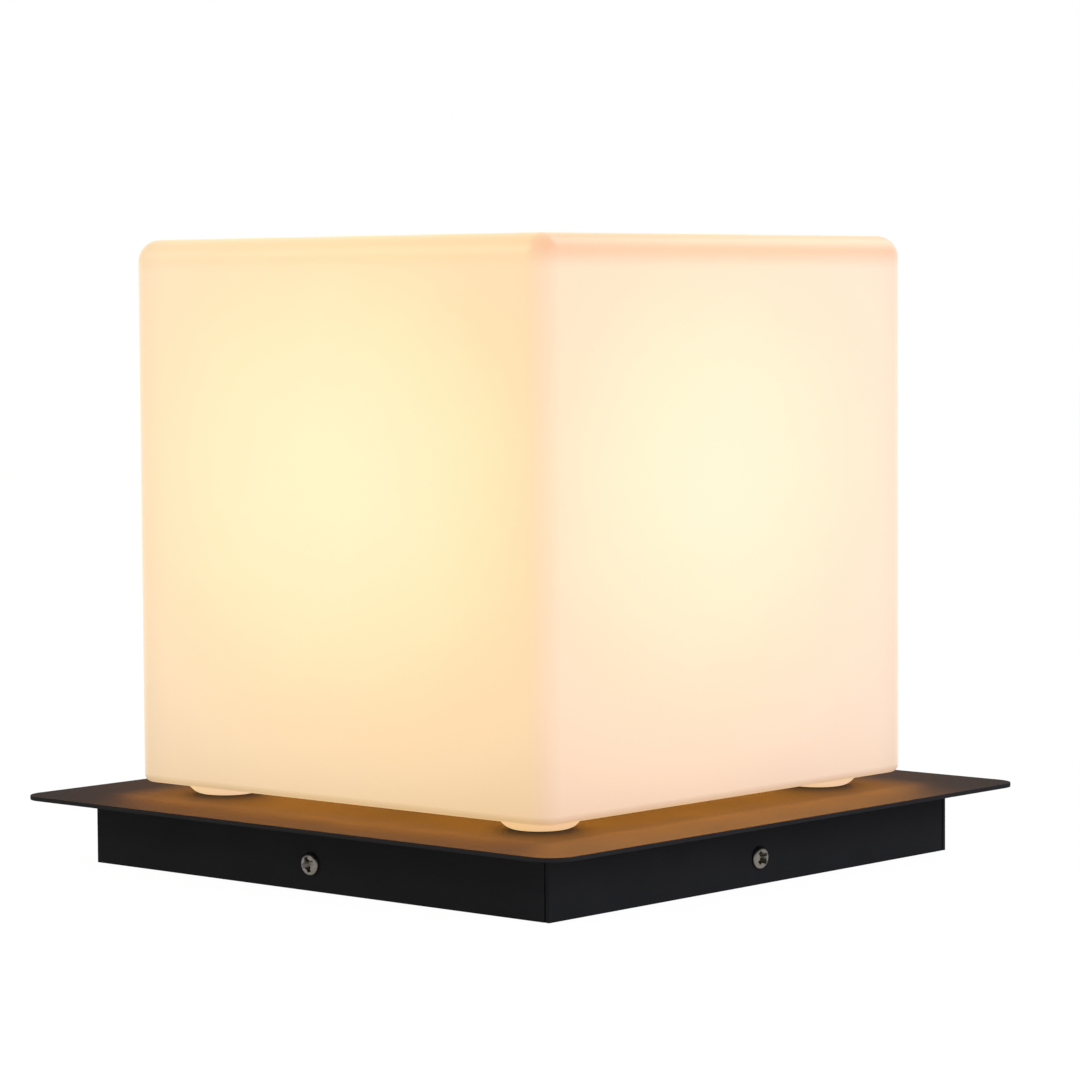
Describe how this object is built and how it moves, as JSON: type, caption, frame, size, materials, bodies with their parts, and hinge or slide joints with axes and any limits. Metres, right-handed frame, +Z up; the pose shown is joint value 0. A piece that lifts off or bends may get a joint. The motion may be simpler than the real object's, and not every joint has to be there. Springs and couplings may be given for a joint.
{
  "type": "deck post cap light",
  "caption": "Lit opal cube shade on four moulded feet over a thin black square plate, with a folded black skirt that slips over a post's head and is screwed to its sides.",
  "frame": {"origin": "middle of the skirt's lower edge, the plane that the light stands on when it is off its post", "axes": "+Z up, out of the post; X and Y square to the shade's faces, with the front corner in the picture at +X -Y"},
  "size_m": [0.26, 0.26, 0.226],
  "materials": {
    "black_powder_coat": "satin fine-textured powder coat on steel sheet",
    "black_rubber": "matt",
    "stainless_steel": "cold-headed stainless steel",
    "zinc_plated_steel": "bright zinc plate",
    "white_thermoset": "moulded, satin",
    "ceramic": "glazed",
    "brass": "bright drawn brass",
    "dark_plastic": "moulded, satin",
    "nylon": "natural nylon",
    "tinned_copper": "tin plate",
    "brown_lead": "silicone insulation",
    "blue_lead": "silicone insulation",
    "earth_lead": "silicone insulation",
    "opal_shade": "opal moulded polyethylene, satin, lit from inside",
    "solder": "solder",
    "black_glass": "vitrified glass",
    "nickel_plate": "nickel plate",
    "white_plastic": "moulded, satin",
    "circuit_board": "glass-fibre board",
    "white_board": "white solder mask on aluminium",
    "opal_diffuser": "opal moulded polycarbonate, lit"
  },
  "bodies": {
    "cap": {"top_plate": "black_powder_coat", "skirt_tray": "black_powder_coat", "post_seal": "black_rubber", "shade_seal": "black_rubber", "shade_screws": "stainless_steel", "shade_washers": "stainless_steel", "lampholder_base": "white_thermoset", "lampholder_shell": "white_thermoset", "contact_block": "ceramic", "socket_thread_shell": "brass", "centre_contact": "brass", "nipple": "brass", "nipple_nut": "brass", "nipple_washer": "zinc_plated_steel", "wiring_cover": "dark_plastic", "cover_screws": "zinc_plated_steel", "cable_grommet": "black_rubber", "cable_saddle": "nylon", "saddle_screws": "zinc_plated_steel", "terminal_block": "nylon", "terminal_tubes": "brass", "terminal_screws": "zinc_plated_steel", "block_screw": "zinc_plated_steel", "earth_screw": "zinc_plated_steel", "earth_washer": "zinc_plated_steel", "earth_tag": "tinned_copper", "live_lead": "brown_lead", "neutral_lead": "blue_lead", "earth_lead": "earth_lead"},
    "shade": {"shade": "opal_shade", "foot_inserts": "brass"},
    "lamp": {"lamp_contact": "solder", "lamp_insulator": "black_glass", "lamp_cap": "nickel_plate", "lamp_housing": "white_plastic", "driver_board": "circuit_board", "led_board": "white_board", "lamp_diffuser": "opal_diffuser"},
    "side_screw_front": {"side_screw_front": "stainless_steel"},
    "side_screw_right": {"side_screw_right": "stainless_steel"},
    "side_screw_back": {"side_screw_back": "stainless_steel"},
    "side_screw_left": {"side_screw_left": "stainless_steel"}
  },
  "joints": [
    {"name": "shade_lift", "type": "slide", "parent": "cap", "child": "shade", "axis": [0, 0, 1], "range_m": [0, 0.15]},
    {"name": "lamp_unscrew", "type": "slide", "parent": "cap", "child": "lamp", "axis": [0, 0, 1], "range_m": [0, 0.024]},
    {"name": "side_screw_front_out", "type": "slide", "parent": "cap", "child": "side_screw_front", "axis": [0, -1, 0], "range_m": [0, 0.014]},
    {"name": "side_screw_right_out", "type": "slide", "parent": "cap", "child": "side_screw_right", "axis": [1, 0, 0], "range_m": [0, 0.014]},
    {"name": "side_screw_back_out", "type": "slide", "parent": "cap", "child": "side_screw_back", "axis": [0, 1, 0], "range_m": [0, 0.014]},
    {"name": "side_screw_left_out", "type": "slide", "parent": "cap", "child": "side_screw_left", "axis": [-1, 0, 0], "range_m": [0, 0.014]}
  ]
}
